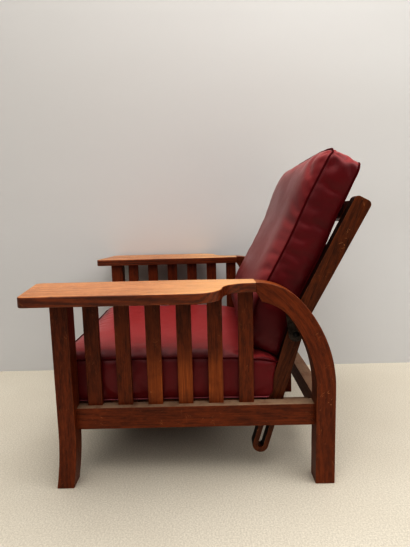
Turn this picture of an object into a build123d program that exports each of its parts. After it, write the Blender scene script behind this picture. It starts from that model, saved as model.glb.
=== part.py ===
from build123d import *

import os
from math import asin, atan2, cos, degrees, hypot, radians, sin, sqrt, tan

# A mission armchair whose back and seat move together, in millimetres.
# Z is up, the chair faces -Y and its left arm, as the sitter has it, is on +X.
# Heights count from the floor and Y counts from the back of the front posts.
# The last lines move everything so that the origin lies on the floor,
# under the middle of the chair's box.

# Legs and posts
leg_outer_x = 352.0
leg_thickness = 48.0
post_width = 42.0
post_foot_sweep = 13.0
post_sweep_height = 150.0
rear_leg_width = 47.0

# Rear arch, from the arm down to the rear foot
arch_reach = 191.0
arch_joint_gap = 3.7
arch_outer_crown_radius = 145.0
arch_outer_haunch_radius = 325.0
arch_inner_crown_radius = 110.0
arch_inner_haunch_radius = 320.0
arch_inner_turn_angle = 54.0
arch_nose_drop = 47.0
arch_nose_run = 14.0

# Arm boards
arm_top_z = 510.0
arm_thickness = 23.0
arm_width = 193.0
arm_inner_x = 282.0
arm_neck_inner_x = 290.0
arm_front_reach = 96.0
arm_front_slant = 35.0
arm_corner_radius = 14.0
arm_sweep_length = 130.0
arm_sweep_setback = 16.0
arm_edge_round = 3.0

# Side slats
slat_count = 6
slat_pitch = 76.2
slat_first_y = 24.5
slat_width = 36.8
slat_thickness = 13.0
slat_inner_x = 303.0

# Fixed rails
rail_top_z = 200.5
rail_height = 55.0
rail_thickness = 33.0
rail_setback = 19.5
rear_rail_setback = 9.0
rear_rail_height = 50.0
rear_rail_thickness = 36.0
front_rail_height = 50.0
front_rail_thickness = 24.0
front_rail_setback = 5.0

# Joinery
tenon_length = 14.0
slat_tenon_length = 12.0
tenon_shoulder = 5.0
slat_tenon_shoulder = 3.0
dowel_diameter = 8.0
dowel_length = 50.0
dowel_spacing = 20.0
edge_ease = 1.6

# Bearers that the sliding seat runs on
slide_z = 169.5
bearer_width = 26.0
bearer_height = 19.0
bearer_setback = 4.0
stop_block_length = 24.0

# Back stiles, two limbs meeting at a knee
knee_z = 402.8
stile_width = 41.0
stile_thickness = 30.0
stile_flare = 4.5
upper_tilt = 27.5
lower_tilt = 16.6
upper_length = 336.0
lower_length = 346.0
stile_top_round = 12.0
slot_width = 14.5
slot_over_rod = 11.2

# Pivot
pivot_drop = 35.5
pivot_diameter = 9.5
turning_gap = 0.05
pivot_head_diameter = 15.0
pivot_head_height = 5.0
pivot_head_gap = 0.84
washer_diameter = 22.0
spacer_length = 9.0
washer_thickness = 2.0
nut_across_flats = 15.0
nut_thickness = 7.0
bracket_thickness = 4.0
bracket_width = 36.0
bracket_length = 62.0
bracket_lean = 8.0
screw_diameter = 4.5
screw_head_diameter = 8.5
screw_length = 26.0
screw_spacing = 26.0

# Back rails and back cushion
back_rail_width = 48.0
back_rail_thickness = 20.0
back_horn = 16.0
back_rail_count = 3
back_rail_foot = 30.0
back_cushion_half_width = 275.0
back_cushion_foot = 110.0
back_cushion_rise = 68.0
back_cushion_box = 92.0
back_cushion_crown = 20.0
back_cushion_foot_lean = 13.0

# Sliding seat
seat_side_width = 31.0
seat_side_height = 20.7
crossbar_width = 26.0
seat_rear_reach = 34.8
seat_front_overhang = 3.0
seat_front_rail_thickness = 26.0
seat_front_rail_gap = 6.0
seat_slat_count = 6
seat_slat_width = 62.0
seat_slat_thickness = 10.0
seat_slat_gap = 3.5
stop_rail_thickness = 45.0
stop_rail_height = 62.0
stop_rail_gap = 3.0
stop_rail_overhang = 19.0
rod_diameter = 9.5
rod_height_z = 180.0
rod_end_gap = 3.0
collar_diameter = 18.0
collar_length = 8.0
travel_stop_drop = 18.0
stop_screw_length = 36.0

# Seat cushion
cushion_front_overhang = 22.0
cushion_stop_gap = 3.0
cushion_notch_gap = 1.5
cushion_edge_height = 117.0
cushion_side_gap = 1.0
cushion_side_bulge = 3.5
cushion_crown = 15.0
cushion_draw_in = 5.0

# Motion and clearances
recline_range = 18.0
seat_travel_per_radian = 231.0
seat_gap = 0.3
running_gap = 1.0
overrun = 5.0

arch_joint_y = slat_first_y + (slat_count - 1) * slat_pitch + slat_width + arch_joint_gap
chair_depth_y = arch_joint_y + arch_reach
arm_sweep_end_y = arch_joint_y - arm_sweep_setback
arm_sweep_start_y = arm_sweep_end_y - arm_sweep_length
leg_inner_x = leg_outer_x - leg_thickness
rail_outer_x = leg_outer_x - rail_setback
rail_inner_x = rail_outer_x - rail_thickness
rail_bottom_z = rail_top_z - rail_height
arm_bottom_z = arm_top_z - arm_thickness
rear_leg_front_y = chair_depth_y - rear_leg_width
rear_rail_front_y = rear_leg_front_y + rear_rail_setback
post_front_y = -post_width
front_rail_front_y = post_front_y + front_rail_setback
front_rail_rear_y = front_rail_front_y + front_rail_thickness
bracket_inner_x = leg_inner_x - bracket_thickness
stile_outer_x = bracket_inner_x - spacer_length - turning_gap
stile_inner_x = stile_outer_x - stile_thickness
outer_crown_z = arm_top_z - arch_outer_crown_radius
outer_haunch_y = chair_depth_y - arch_outer_haunch_radius
outer_meet_run = arch_joint_y - outer_haunch_y
outer_meet_rise = sqrt((arch_outer_haunch_radius - arch_outer_crown_radius) ** 2 - outer_meet_run**2)
outer_haunch_z = outer_crown_z - outer_meet_rise
nose_y = arch_joint_y + arch_nose_run
nose_z = arm_top_z - arch_nose_drop
inner_haunch_y = rear_leg_front_y - arch_inner_haunch_radius
inner_meet_y = inner_haunch_y + arch_inner_haunch_radius * sin(radians(arch_inner_turn_angle))
inner_crown_y = inner_meet_y - arch_inner_crown_radius * sin(radians(arch_inner_turn_angle))
inner_crown_z = nose_z - sqrt(arch_inner_crown_radius**2 - (nose_y - inner_crown_y) ** 2)
inner_meet_z = inner_crown_z + arch_inner_crown_radius * cos(radians(arch_inner_turn_angle))
inner_haunch_z = inner_meet_z - arch_inner_haunch_radius * cos(radians(arch_inner_turn_angle))
pivot_z = knee_z - pivot_drop * cos(radians(lower_tilt))
pivot_reach = arch_inner_haunch_radius - pivot_head_gap - pivot_head_diameter / 2
pivot_y = inner_haunch_y + sqrt(pivot_reach**2 - (pivot_z - inner_haunch_z) ** 2)
knee_y = pivot_y + pivot_drop * sin(radians(lower_tilt))
seat_travel = seat_travel_per_radian * radians(recline_range)
seat_bottom_z = slide_z + seat_gap
seat_side_outer_x = stile_inner_x - running_gap - collar_length
bearer_outer_x = seat_side_outer_x - bearer_setback
seat_front_rail_half = leg_inner_x - seat_front_rail_gap
seat_slat_half = rail_inner_x - seat_slat_gap
stop_rail_half = stile_inner_x - stop_rail_gap
rod_half_length = stile_outer_x - rod_end_gap
seat_side_inner_x = seat_side_outer_x - seat_side_width
slat_bed_z = seat_bottom_z + seat_side_height
deck_z = slat_bed_z + seat_slat_thickness
rod_drop = (knee_z - rod_height_z) / cos(radians(lower_tilt))
rod_y = knee_y - rod_drop * sin(radians(lower_tilt))
slot_length = lower_length - rod_drop + slot_over_rod
cushion_bottom_z = max(deck_z, rail_top_z) + seat_gap
seat_rear_y = rod_y + seat_rear_reach
seat_front_y = front_rail_front_y - seat_front_overhang + seat_front_rail_thickness
cushion_front_y = seat_front_y - seat_front_rail_thickness - cushion_front_overhang
cushion_rear_y = seat_rear_y + stop_rail_overhang - stop_rail_thickness - cushion_stop_gap
cushion_half_width = slat_inner_x - cushion_side_gap - cushion_side_bulge
back_cushion_top = upper_length + back_cushion_rise
back_rail_span_length = upper_length - back_horn - back_rail_foot
back_rail_gap = (back_rail_span_length - back_rail_count * back_rail_width) / (back_rail_count - 1)


def block(x0, x1, y0, y1, z0, z1):
    """A box between two opposite corners."""
    return Pos((x0 + x1) / 2, (y0 + y1) / 2, (z0 + z1) / 2) * Box(x1 - x0, y1 - y0, z1 - z0)


def slab(profile, x0, thickness):
    """A flat piece whose outline is drawn in Y and Z."""
    return extrude(Plane.YZ.offset(x0) * profile, amount=thickness)


def bar_x(radius, x0, x1, y, z):
    """A round bar along X."""
    return Pos((x0 + x1) / 2, y, z) * Rot(Y=90) * Cylinder(radius, x1 - x0)


def ease_faces(piece, x0, x1, radius):
    """Round the long edges on the two side faces of a slab."""
    rim = piece.edges().filter_by_position(Axis.X, x0 - radius / 2, x0 + radius / 2)
    rim += piece.edges().filter_by_position(Axis.X, x1 - radius / 2, x1 + radius / 2)
    return fillet(rim, radius)


def ease_along(piece, axis, radius):
    """Round the edges of a box that run along one axis."""
    return fillet(piece.edges().filter_by(axis), radius)


def other_side(piece):
    return mirror(piece, about=Plane.YZ)


def post_outline():
    """Straight above, then swept forward to the foot by one arc on each edge."""
    sweep_radius = (post_sweep_height**2 + post_foot_sweep**2) / (2 * post_foot_sweep)
    half_angle = atan2(post_foot_sweep, post_sweep_height)
    mid_drop = sweep_radius * sin(half_angle)
    mid_shift = sweep_radius * (1 - cos(half_angle))
    mid_z = post_sweep_height - mid_drop
    rear = ThreePointArc((0, post_sweep_height), (-mid_shift, mid_z), (-post_foot_sweep, 0))
    front = ThreePointArc(
        (post_front_y, post_sweep_height),
        (post_front_y - mid_shift, mid_z),
        (post_front_y - post_foot_sweep, 0),
    )
    edges = [
        rear,
        Line((-post_foot_sweep, 0), (post_front_y - post_foot_sweep, 0)),
        front,
        Line((post_front_y, post_sweep_height), (post_front_y, arm_bottom_z)),
        Line((post_front_y, arm_bottom_z), (0, arm_bottom_z)),
        Line((0, arm_bottom_z), (0, post_sweep_height)),
    ]
    return make_face(edges)


def front_post():
    post = ease_faces(slab(post_outline(), leg_inner_x, leg_thickness), leg_inner_x, leg_outer_x, edge_ease)
    tenon = block(
        leg_inner_x + tenon_shoulder,
        leg_outer_x - tenon_shoulder,
        post_front_y + tenon_shoulder,
        -tenon_shoulder,
        arm_bottom_z,
        arm_bottom_z + slat_tenon_length,
    )
    return post + tenon - side_rail_tenons() - front_rail_tenon()


def arc_point(centre, radius, angle):
    """A point on an arc, its angle measured from level towards straight down."""
    return (centre[0] + radius * sin(radians(angle)), centre[1] + radius * cos(radians(angle)))


def arch_outline():
    """The curved rear leg: two arcs outside, two arcs inside, straight to the foot."""
    crown = (arch_joint_y, outer_crown_z)
    haunch = (outer_haunch_y, outer_haunch_z)
    turn = degrees(atan2(outer_meet_run, outer_meet_rise))
    outer_meet = arc_point(haunch, arch_outer_haunch_radius, turn)
    nose = (nose_y, nose_z)
    meet = (inner_meet_y, inner_meet_z)
    inner_crown = (inner_crown_y, inner_crown_z)
    inner_haunch = (inner_haunch_y, inner_haunch_z)
    nose_angle = degrees(atan2(nose_y - inner_crown_y, nose_z - inner_crown_z))
    crown_mid_angle = (nose_angle + arch_inner_turn_angle) / 2
    haunch_mid_angle = (arch_inner_turn_angle + 90) / 2
    edges = [
        Line((rear_leg_front_y, 0), (chair_depth_y, 0)),
        Line((chair_depth_y, 0), (chair_depth_y, outer_haunch_z)),
        ThreePointArc(
            (chair_depth_y, outer_haunch_z),
            arc_point(haunch, arch_outer_haunch_radius, (turn + 90) / 2),
            outer_meet,
        ),
        ThreePointArc(
            outer_meet,
            arc_point(crown, arch_outer_crown_radius, turn / 2),
            (arch_joint_y, arm_top_z),
        ),
        Line((arch_joint_y, arm_top_z), (arch_joint_y, arm_bottom_z)),
        Line((arch_joint_y, arm_bottom_z), nose),
        ThreePointArc(
            nose,
            arc_point(inner_crown, arch_inner_crown_radius, crown_mid_angle),
            meet,
        ),
        ThreePointArc(
            meet,
            arc_point(inner_haunch, arch_inner_haunch_radius, haunch_mid_angle),
            (rear_leg_front_y, inner_haunch_z),
        ),
        Line((rear_leg_front_y, inner_haunch_z), (rear_leg_front_y, 0)),
    ]
    return make_face(edges)


def rear_arch():
    arch = ease_faces(slab(arch_outline(), leg_inner_x, leg_thickness), leg_inner_x, leg_outer_x, edge_ease)
    arch = arch - side_rail_tenons() - rear_rail_tenon() - arm_dowels()
    return arch - bracket_screws()


def arm_board():
    """A paddle that narrows to the arch through two equal arcs."""
    outer_x = arm_inner_x + arm_width
    inner_front_y = -arm_front_reach
    outer_front_y = inner_front_y + arm_front_slant
    mid_x = (outer_x + leg_outer_x) / 2
    mid_y = (arm_sweep_start_y + arm_sweep_end_y) / 2
    across = outer_x - leg_outer_x
    along = arm_sweep_end_y - arm_sweep_start_y
    radius = (across**2 + along**2) / (4 * across)
    quarter = atan2(across, along)
    bow = radius * sin(quarter)
    sag = radius * (1 - cos(quarter))
    edges = [
        Line((arm_inner_x, inner_front_y), (outer_x, outer_front_y)),
        Line((outer_x, outer_front_y), (outer_x, arm_sweep_start_y)),
        ThreePointArc(
            (outer_x, arm_sweep_start_y),
            (outer_x - sag, arm_sweep_start_y + bow),
            (mid_x, mid_y),
        ),
        ThreePointArc(
            (mid_x, mid_y),
            (leg_outer_x + sag, arm_sweep_end_y - bow),
            (leg_outer_x, arm_sweep_end_y),
        ),
        Line((leg_outer_x, arm_sweep_end_y), (leg_outer_x, arch_joint_y)),
        Line((leg_outer_x, arch_joint_y), (arm_neck_inner_x, arch_joint_y)),
        Line((arm_neck_inner_x, arch_joint_y), (arm_inner_x, arm_sweep_start_y)),
        Line((arm_inner_x, arm_sweep_start_y), (arm_inner_x, inner_front_y)),
    ]
    board = extrude(Pos(0, 0, arm_bottom_z) * make_face(edges), amount=arm_thickness)
    upright = board.edges().filter_by(Axis.Z).sort_by(Axis.Y)[:2]
    board = fillet(upright, arm_corner_radius)
    for level, radius in ((arm_top_z, arm_edge_round), (arm_bottom_z, edge_ease)):
        rim = board.edges().filter_by_position(Axis.Z, level - edge_ease, level + edge_ease)
        board = fillet([edge for edge in rim if edge.center().Y < arch_joint_y - edge_ease], radius)
    board = board - arm_dowels()
    for index in range(slat_count):
        board = board - slat_tenon(index, arm_bottom_z, arm_bottom_z + slat_tenon_length)
    return board - block(
        leg_inner_x + tenon_shoulder,
        leg_outer_x - tenon_shoulder,
        post_front_y + tenon_shoulder,
        -tenon_shoulder,
        arm_bottom_z,
        arm_bottom_z + slat_tenon_length,
    )


def arm_dowels():
    """Two dowels across the butt joint of one arm and its arch."""
    middle_x = (leg_inner_x + leg_outer_x) / 2
    middle_z = (arm_top_z + arm_bottom_z) / 2
    pins = Part()
    for side in (-1, 1):
        place = Pos(middle_x + side * dowel_spacing / 2, arch_joint_y, middle_z - edge_ease)
        pins += place * Rot(X=90) * Cylinder(dowel_diameter / 2, dowel_length)
    return pins


def slat_tenon(index, z0, z1):
    y0 = slat_first_y + index * slat_pitch
    return block(
        slat_inner_x + slat_tenon_shoulder,
        slat_inner_x + slat_thickness - slat_tenon_shoulder,
        y0 + slat_tenon_shoulder,
        y0 + slat_width - slat_tenon_shoulder,
        z0,
        z1,
    )


def arm_slat(index):
    y0 = slat_first_y + index * slat_pitch
    body = block(
        slat_inner_x,
        slat_inner_x + slat_thickness,
        y0,
        y0 + slat_width,
        rail_top_z,
        arm_bottom_z,
    )
    body = ease_along(body, Axis.Z, edge_ease)
    return body + slat_tenon(index, rail_top_z - slat_tenon_length, arm_bottom_z + slat_tenon_length)


def side_rail_tenons():
    """The tongues of one side rail, in the post and in the arch."""
    x0 = leg_inner_x + tenon_shoulder
    x1 = rail_outer_x - tenon_shoulder
    z0 = rail_bottom_z + tenon_shoulder
    z1 = rail_top_z - tenon_shoulder
    front = block(x0, x1, -tenon_length, 0, z0, z1)
    return front + block(x0, x1, rear_leg_front_y, rear_leg_front_y + tenon_length, z0, z1)


def side_rail():
    rail = block(rail_inner_x, rail_outer_x, 0, rear_leg_front_y, rail_bottom_z, rail_top_z)
    rail = ease_along(rail, Axis.Y, edge_ease)
    for index in range(slat_count):
        rail = rail - slat_tenon(index, rail_top_z - slat_tenon_length, rail_top_z)
    return rail + side_rail_tenons()


def rear_rail_tenon():
    return block(
        leg_inner_x,
        leg_inner_x + tenon_length,
        rear_rail_front_y + tenon_shoulder,
        rear_rail_front_y + rear_rail_thickness - tenon_shoulder,
        rail_top_z - rear_rail_height + tenon_shoulder,
        rail_top_z - tenon_shoulder,
    )


def front_rail_tenon():
    return block(
        leg_inner_x,
        leg_inner_x + tenon_length,
        front_rail_front_y + tenon_shoulder,
        front_rail_rear_y - tenon_shoulder,
        slide_z - front_rail_height + tenon_shoulder,
        slide_z - tenon_shoulder,
    )


def cross_rail(y0, y1, z0, z1, tenon):
    """A rail between the legs, with a tongue at each end and a seat for both bearers."""
    rail = ease_along(block(-leg_inner_x, leg_inner_x, y0, y1, z0, z1), Axis.X, edge_ease)
    rail = rail + tenon + other_side(tenon)
    return rail - bearer_tenons() - other_side(bearer_tenons())


def front_rail():
    return cross_rail(
        front_rail_front_y,
        front_rail_rear_y,
        slide_z - front_rail_height,
        slide_z,
        front_rail_tenon(),
    )


def rear_rail():
    return cross_rail(
        rear_rail_front_y,
        rear_rail_front_y + rear_rail_thickness,
        rail_top_z - rear_rail_height,
        rail_top_z,
        rear_rail_tenon(),
    )


def bearer_tenons():
    x0 = bearer_outer_x - bearer_width + tenon_shoulder
    x1 = bearer_outer_x - tenon_shoulder
    z0 = slide_z - bearer_height + tenon_shoulder
    z1 = slide_z - tenon_shoulder
    front = block(x0, x1, front_rail_rear_y - slat_tenon_length, front_rail_rear_y, z0, z1)
    return front + block(x0, x1, rear_rail_front_y, rear_rail_front_y + slat_tenon_length, z0, z1)


def seat_bearer():
    bearer = block(
        bearer_outer_x - bearer_width,
        bearer_outer_x,
        front_rail_rear_y,
        rear_rail_front_y,
        slide_z - bearer_height,
        slide_z,
    )
    return ease_along(bearer, Axis.Y, edge_ease) + bearer_tenons()


def stop_block_front_y():
    """Where the fixed stop begins, just behind the seat's own stop at rest."""
    return front_rail_rear_y + seat_travel + seat_gap + stop_block_length + seat_gap


def bearer_stop():
    """A block on the inside of a bearer that keeps the seat from sliding back past rest."""
    x1 = bearer_outer_x - bearer_width
    y0 = stop_block_front_y()
    return block(x1 - bearer_width, x1, y0, y0 + stop_block_length, slide_z - bearer_height, slide_z)


def travel_stop():
    """A block under the seat that meets the front rail at full recline."""
    x1 = seat_side_inner_x
    y0 = stop_block_front_y() - seat_gap - stop_block_length
    low_z = slat_bed_z - seat_side_height - travel_stop_drop
    return block(x1 - bearer_width, x1, y0, y0 + stop_block_length, low_z, slat_bed_z)


def limb(tilt, length):
    """A straight limb of a stile from its knee, upwards for a positive length."""
    turned = Rot(Z=-tilt) * Pos(0, length / 2) * Rectangle(stile_width, abs(length))
    return Pos(knee_y, knee_z) * turned


def stile_point(tilt, along, across):
    """A point on a limb: along it from the knee, and across towards the sitter."""
    t = radians(tilt)
    y = knee_y + along * sin(t) - across * cos(t)
    z = knee_z + along * cos(t) + across * sin(t)
    return (y, z)


def upper_limb():
    """The upper limb: its front edge straight, its rear edge flaring towards a rounded top."""
    half = stile_width / 2
    corners = [(-half, 0), (half, 0), (half + stile_flare, upper_length), (-half, upper_length)]
    outline = make_face(Polyline(*corners, close=True))
    outline = fillet(outline.vertices().group_by(Axis.Y)[-1], stile_top_round)
    return Pos(knee_y, knee_z) * Rot(Z=-upper_tilt) * outline


def back_stile():
    foot = stile_point(lower_tilt, -lower_length, 0)
    outline = upper_limb() + limb(lower_tilt, -lower_length)
    outline = outline + Pos(*foot) * Circle(stile_width / 2)
    outline = outline + Pos(knee_y, knee_z) * Circle(stile_width / 2)
    slot_middle = stile_point(lower_tilt, -lower_length + slot_length / 2, 0)
    slot = Pos(*slot_middle) * Rot(Z=90 - lower_tilt) * SlotCenterToCenter(slot_length, slot_width)
    stile = slab(outline, stile_inner_x, stile_thickness)
    stile = ease_faces(stile, stile_inner_x, stile_outer_x, edge_ease)
    stile = stile - slab(slot, stile_inner_x - overrun, stile_thickness + 2 * overrun)
    bore = pivot_diameter / 2 + turning_gap
    stile = stile - bar_x(bore, stile_inner_x - overrun, stile_outer_x + overrun, pivot_y, pivot_z)
    for index in range(back_rail_count):
        stile = stile - back_rail_tenon(index)
    return stile


def back_rail_span(index):
    """Lower and upper edge of a back rail, along the upper limb, counted from the top rail down."""
    top = upper_length - back_horn - index * (back_rail_width + back_rail_gap)
    return top - back_rail_width, top


def back_board(index, x0, x1, inset):
    """A board on the upper limbs, flush with their front faces unless inset."""
    low, high = back_rail_span(index)
    front = stile_width / 2
    middle = stile_point(upper_tilt, (low + high) / 2, front - back_rail_thickness / 2)
    depth = back_rail_thickness - 2 * inset
    board = Rectangle(depth, high - low - 2 * inset)
    return slab(Pos(*middle) * Rot(Z=-upper_tilt) * board, x0, x1 - x0)


def back_rail_tenon(index):
    return back_board(index, stile_inner_x, stile_inner_x + tenon_length, tenon_shoulder)


def back_rail(index):
    rail = ease_along(back_board(index, -stile_inner_x, stile_inner_x, 0), Axis.X, edge_ease)
    return rail + back_rail_tenon(index) + other_side(back_rail_tenon(index))


def bracket_axis_point(along):
    """A point up the bracket from the pivot."""
    t = radians(bracket_lean)
    return (pivot_y - along * sin(t), pivot_z + along * cos(t))


def pivot_bracket():
    """A steel strap on the inside of the arch that carries the pivot bolt."""
    middle = bracket_axis_point(bracket_length / 2)
    strap = Pos(*middle) * Rot(Z=90 + bracket_lean) * SlotCenterToCenter(bracket_length, bracket_width)
    plate = slab(strap, bracket_inner_x, bracket_thickness)
    plate = plate - bar_x(
        pivot_diameter / 2, bracket_inner_x - overrun, leg_inner_x + overrun, pivot_y, pivot_z
    )
    return plate - bracket_screws()


def bracket_screws():
    """Two countersunk screws through one bracket into the arch."""
    screws = Part()
    for step in range(2):
        y, z = bracket_axis_point(bracket_length - step * screw_spacing)
        shank = bar_x(screw_diameter / 2, bracket_inner_x, bracket_inner_x + screw_length, y, z)
        head_height = (screw_head_diameter - screw_diameter) / 2
        cone = Cone(screw_diameter / 2, screw_head_diameter / 2, head_height)
        head = Pos(bracket_inner_x + head_height / 2, y, z) * Rot(Y=-90) * cone
        screws += shank + head
    return screws


def pivot_bolt():
    """A round-headed bolt, its head outside the bracket and its thread inside the stile."""
    tip_x = stile_inner_x - turning_gap - washer_thickness - nut_thickness
    shank = pivot_diameter / 2
    rim = pivot_head_diameter / 2
    rise = pivot_head_height
    dome_radius = (rim**2 + rise**2) / (2 * rise)
    dome_x = leg_inner_x + rise - dome_radius
    half_turn = asin(rim / dome_radius) / 2
    edges = [
        Line((tip_x, 0), (tip_x, shank)),
        Line((tip_x, shank), (leg_inner_x, shank)),
        Line((leg_inner_x, shank), (leg_inner_x, rim)),
        ThreePointArc(
            (leg_inner_x, rim),
            (dome_x + dome_radius * cos(half_turn), dome_radius * sin(half_turn)),
            (leg_inner_x + rise, 0),
        ),
        Line((leg_inner_x + rise, 0), (tip_x, 0)),
    ]
    return Pos(0, pivot_y, pivot_z) * revolve(make_face(edges), Axis.X)


def pivot_ring(x0, length):
    ring = bar_x(washer_diameter / 2, x0, x0 + length, pivot_y, pivot_z)
    return ring - bar_x(pivot_diameter / 2, x0 - overrun, x0 + length + overrun, pivot_y, pivot_z)


def pivot_spacer():
    """A sleeve that keeps a stile clear of its bracket."""
    return pivot_ring(bracket_inner_x - spacer_length, spacer_length)


def pivot_washer():
    return pivot_ring(stile_inner_x - turning_gap - washer_thickness, washer_thickness)


def pivot_nut():
    x1 = stile_inner_x - turning_gap - washer_thickness
    hexagon = RegularPolygon(nut_across_flats / 2, 6, major_radius=False)
    nut = slab(Pos(pivot_y, pivot_z) * hexagon, x1 - nut_thickness, nut_thickness)
    return nut - bar_x(pivot_diameter / 2, x1 - nut_thickness - overrun, x1 + overrun, pivot_y, pivot_z)


def seat_side():
    member = block(
        seat_side_inner_x, seat_side_outer_x, seat_front_y, seat_rear_y, seat_bottom_z, slat_bed_z
    )
    member = ease_along(member, Axis.Y, edge_ease)
    member = member - bar_x(
        rod_diameter / 2, seat_side_inner_x - overrun, seat_side_outer_x + overrun, rod_y, rod_height_z
    )
    return member + seat_side_tenon() - stop_rail_screws()


def seat_side_tenon():
    return block(
        seat_side_inner_x + tenon_shoulder,
        seat_side_outer_x - tenon_shoulder,
        seat_front_y - tenon_length,
        seat_front_y,
        seat_bottom_z + tenon_shoulder,
        slat_bed_z - tenon_shoulder,
    )


def seat_front_rail():
    rail = block(
        -seat_front_rail_half,
        seat_front_rail_half,
        seat_front_y - seat_front_rail_thickness,
        seat_front_y,
        seat_bottom_z,
        deck_z,
    )
    rail = ease_along(rail, Axis.X, edge_ease)
    return rail - seat_side_tenon() - other_side(seat_side_tenon())


def seat_crossbar():
    """A bar between the two seat sides, under the last slat."""
    bar = block(
        -seat_side_inner_x,
        seat_side_inner_x,
        seat_rear_y - crossbar_width,
        seat_rear_y,
        seat_bottom_z,
        slat_bed_z,
    )
    return ease_along(bar, Axis.X, edge_ease)


def seat_slat(index):
    first_y = seat_front_y + seat_gap
    last_y = seat_rear_y - seat_slat_width
    y0 = first_y + index * (last_y - first_y) / (seat_slat_count - 1)
    last = index == seat_slat_count - 1
    half = seat_side_outer_x if last else seat_slat_half
    slat = ease_along(block(-half, half, y0, y0 + seat_slat_width, slat_bed_z, deck_z), Axis.X, edge_ease)
    return slat - both_sides(stop_rail_screws()) if last else slat


def both_sides(piece):
    return Part(children=piece.solids() + other_side(piece).solids())


def cushion_stop_rail():
    """The upright rail behind the seat cushion, standing on the last slat."""
    y1 = seat_rear_y + stop_rail_overhang
    rail = block(
        -stop_rail_half,
        stop_rail_half,
        y1 - stop_rail_thickness,
        y1,
        deck_z,
        deck_z + stop_rail_height,
    )
    return ease_along(rail, Axis.X, edge_ease) - both_sides(stop_rail_screws())


def stop_rail_screws():
    """A screw up through a seat side and the last slat into the stop rail."""
    x = (seat_side_inner_x + seat_side_outer_x) / 2
    y = seat_rear_y - (stop_rail_thickness - stop_rail_overhang) / 2
    low_z = seat_bottom_z
    shank = Pos(x, y, low_z + stop_screw_length / 2) * Cylinder(screw_diameter / 2, stop_screw_length)
    head_height = (screw_head_diameter - screw_diameter) / 2
    cone = Cone(screw_head_diameter / 2, screw_diameter / 2, head_height)
    return shank + Pos(x, y, low_z + head_height / 2) * cone


def slot_rod():
    return bar_x(rod_diameter / 2, -rod_half_length, rod_half_length, rod_y, rod_height_z)


def rod_collar():
    """A collar that fills the gap between a seat side and its stile."""
    x1 = seat_side_outer_x + collar_length
    collar = bar_x(collar_diameter / 2, seat_side_outer_x, x1, rod_y, rod_height_z)
    return collar - bar_x(rod_diameter / 2, seat_side_outer_x - overrun, x1 + overrun, rod_y, rod_height_z)


def cushion_section(plane, half_width, depth, crown, bulge):
    """A cushion's cross-section: flat below, bowed at the sides and crowned above."""
    edges = [
        Line((-half_width, 0), (half_width, 0)),
        ThreePointArc((half_width, 0), (half_width + bulge, depth / 2), (half_width, depth)),
        ThreePointArc((half_width, depth), (0, depth + crown), (-half_width, depth)),
        ThreePointArc((-half_width, depth), (-half_width - bulge, depth / 2), (-half_width, 0)),
    ]
    return plane * make_face(edges)


def seat_cushion():
    """A boxed cushion, drawn in between its corners and notched round both stiles."""
    length = cushion_rear_y - cushion_front_y
    place_shares = (0, 0.07, 0.5, 0.84, 0.95, 1)
    height_shares = (0.91, 1, 1, 0.985, 0.94, 0.86)
    crown_shares = (0.45, 0.85, 1, 0.8, 0.45, 0.2)
    draw_shares = (0, 0.25, 1, 0.25, 0, 0)
    sections = []
    for place, height, crown, draw in zip(place_shares, height_shares, crown_shares, draw_shares):
        origin = (0, cushion_front_y + place * length, cushion_bottom_z)
        plane = Plane(origin=origin, x_dir=(1, 0, 0), z_dir=(0, -1, 0))
        sections.append(
            cushion_section(
                plane,
                cushion_half_width - draw * cushion_draw_in,
                cushion_edge_height * height,
                cushion_crown * crown,
                cushion_side_bulge,
            )
        )
    return loft(sections) - both_sides(stile_notch())


def stile_notch():
    """The room that one stile's lower limb takes out of the seat cushion."""
    x0 = stile_inner_x - cushion_notch_gap
    x1 = stile_outer_x + cushion_notch_gap
    front = stile_width / 2 + running_gap
    top = stile_point(lower_tilt, 0, front)
    foot = stile_point(lower_tilt, -lower_length, front)
    outline = Polyline(top, foot, (chair_depth_y, foot[1]), (chair_depth_y, top[1]), close=True)
    return slab(make_face(outline), x0, x1 - x0)


def back_cushion():
    """A boxed cushion on the back rails, its foot following the lower limbs."""
    place_shares = (0, 0.1, 0.22, 0.55, 0.8, 0.94, 1)
    sit_shares = (1, 0.55, 0, 0, -0.55, -0.75, -1.3)
    box_shares = (0.84, 0.98, 1, 1, 0.96, 0.9, 0.76)
    crown_shares = (0.4, 0.8, 0.95, 1, 1, 0.8, 0.4)
    draw_shares = (0.6, 0.1, 0.3, 1, 0.6, 0.2, 0)
    length = back_cushion_top + back_cushion_foot
    tilt = radians(upper_tilt)
    sections = []
    for place, sit, box, crown, draw in zip(
        place_shares, sit_shares, box_shares, crown_shares, draw_shares
    ):
        along = place * length - back_cushion_foot
        rear = stile_width / 2 + seat_gap - sit * back_cushion_foot_lean
        y, z = stile_point(upper_tilt, along, rear)
        plane = Plane(origin=(0, y, z), x_dir=(-1, 0, 0), z_dir=(0, sin(tilt), cos(tilt)))
        sections.append(
            cushion_section(
                plane,
                back_cushion_half_width - draw * cushion_draw_in,
                back_cushion_box * box,
                back_cushion_crown * crown,
                cushion_side_bulge,
            )
        )
    return loft(sections) - stile_front_side(back_cushion_half_width + overrun)


def stile_front_side(half_width):
    """All the room from just before the stiles' front faces rearwards."""
    front = stile_width / 2 + seat_gap
    meet = stile_point((upper_tilt + lower_tilt) / 2, 0, front / cos(radians(upper_tilt - lower_tilt) / 2))
    top = stile_point(upper_tilt, 2 * upper_length, front)
    foot = stile_point(lower_tilt, -2 * lower_length, front)
    rear_top = stile_point(upper_tilt, 2 * upper_length, -upper_length)
    rear_foot = stile_point(lower_tilt, -2 * lower_length, -upper_length)
    outline = Polyline(meet, top, rear_top, rear_foot, foot, close=True)
    return slab(make_face(outline), -half_width, 2 * half_width)


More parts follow.
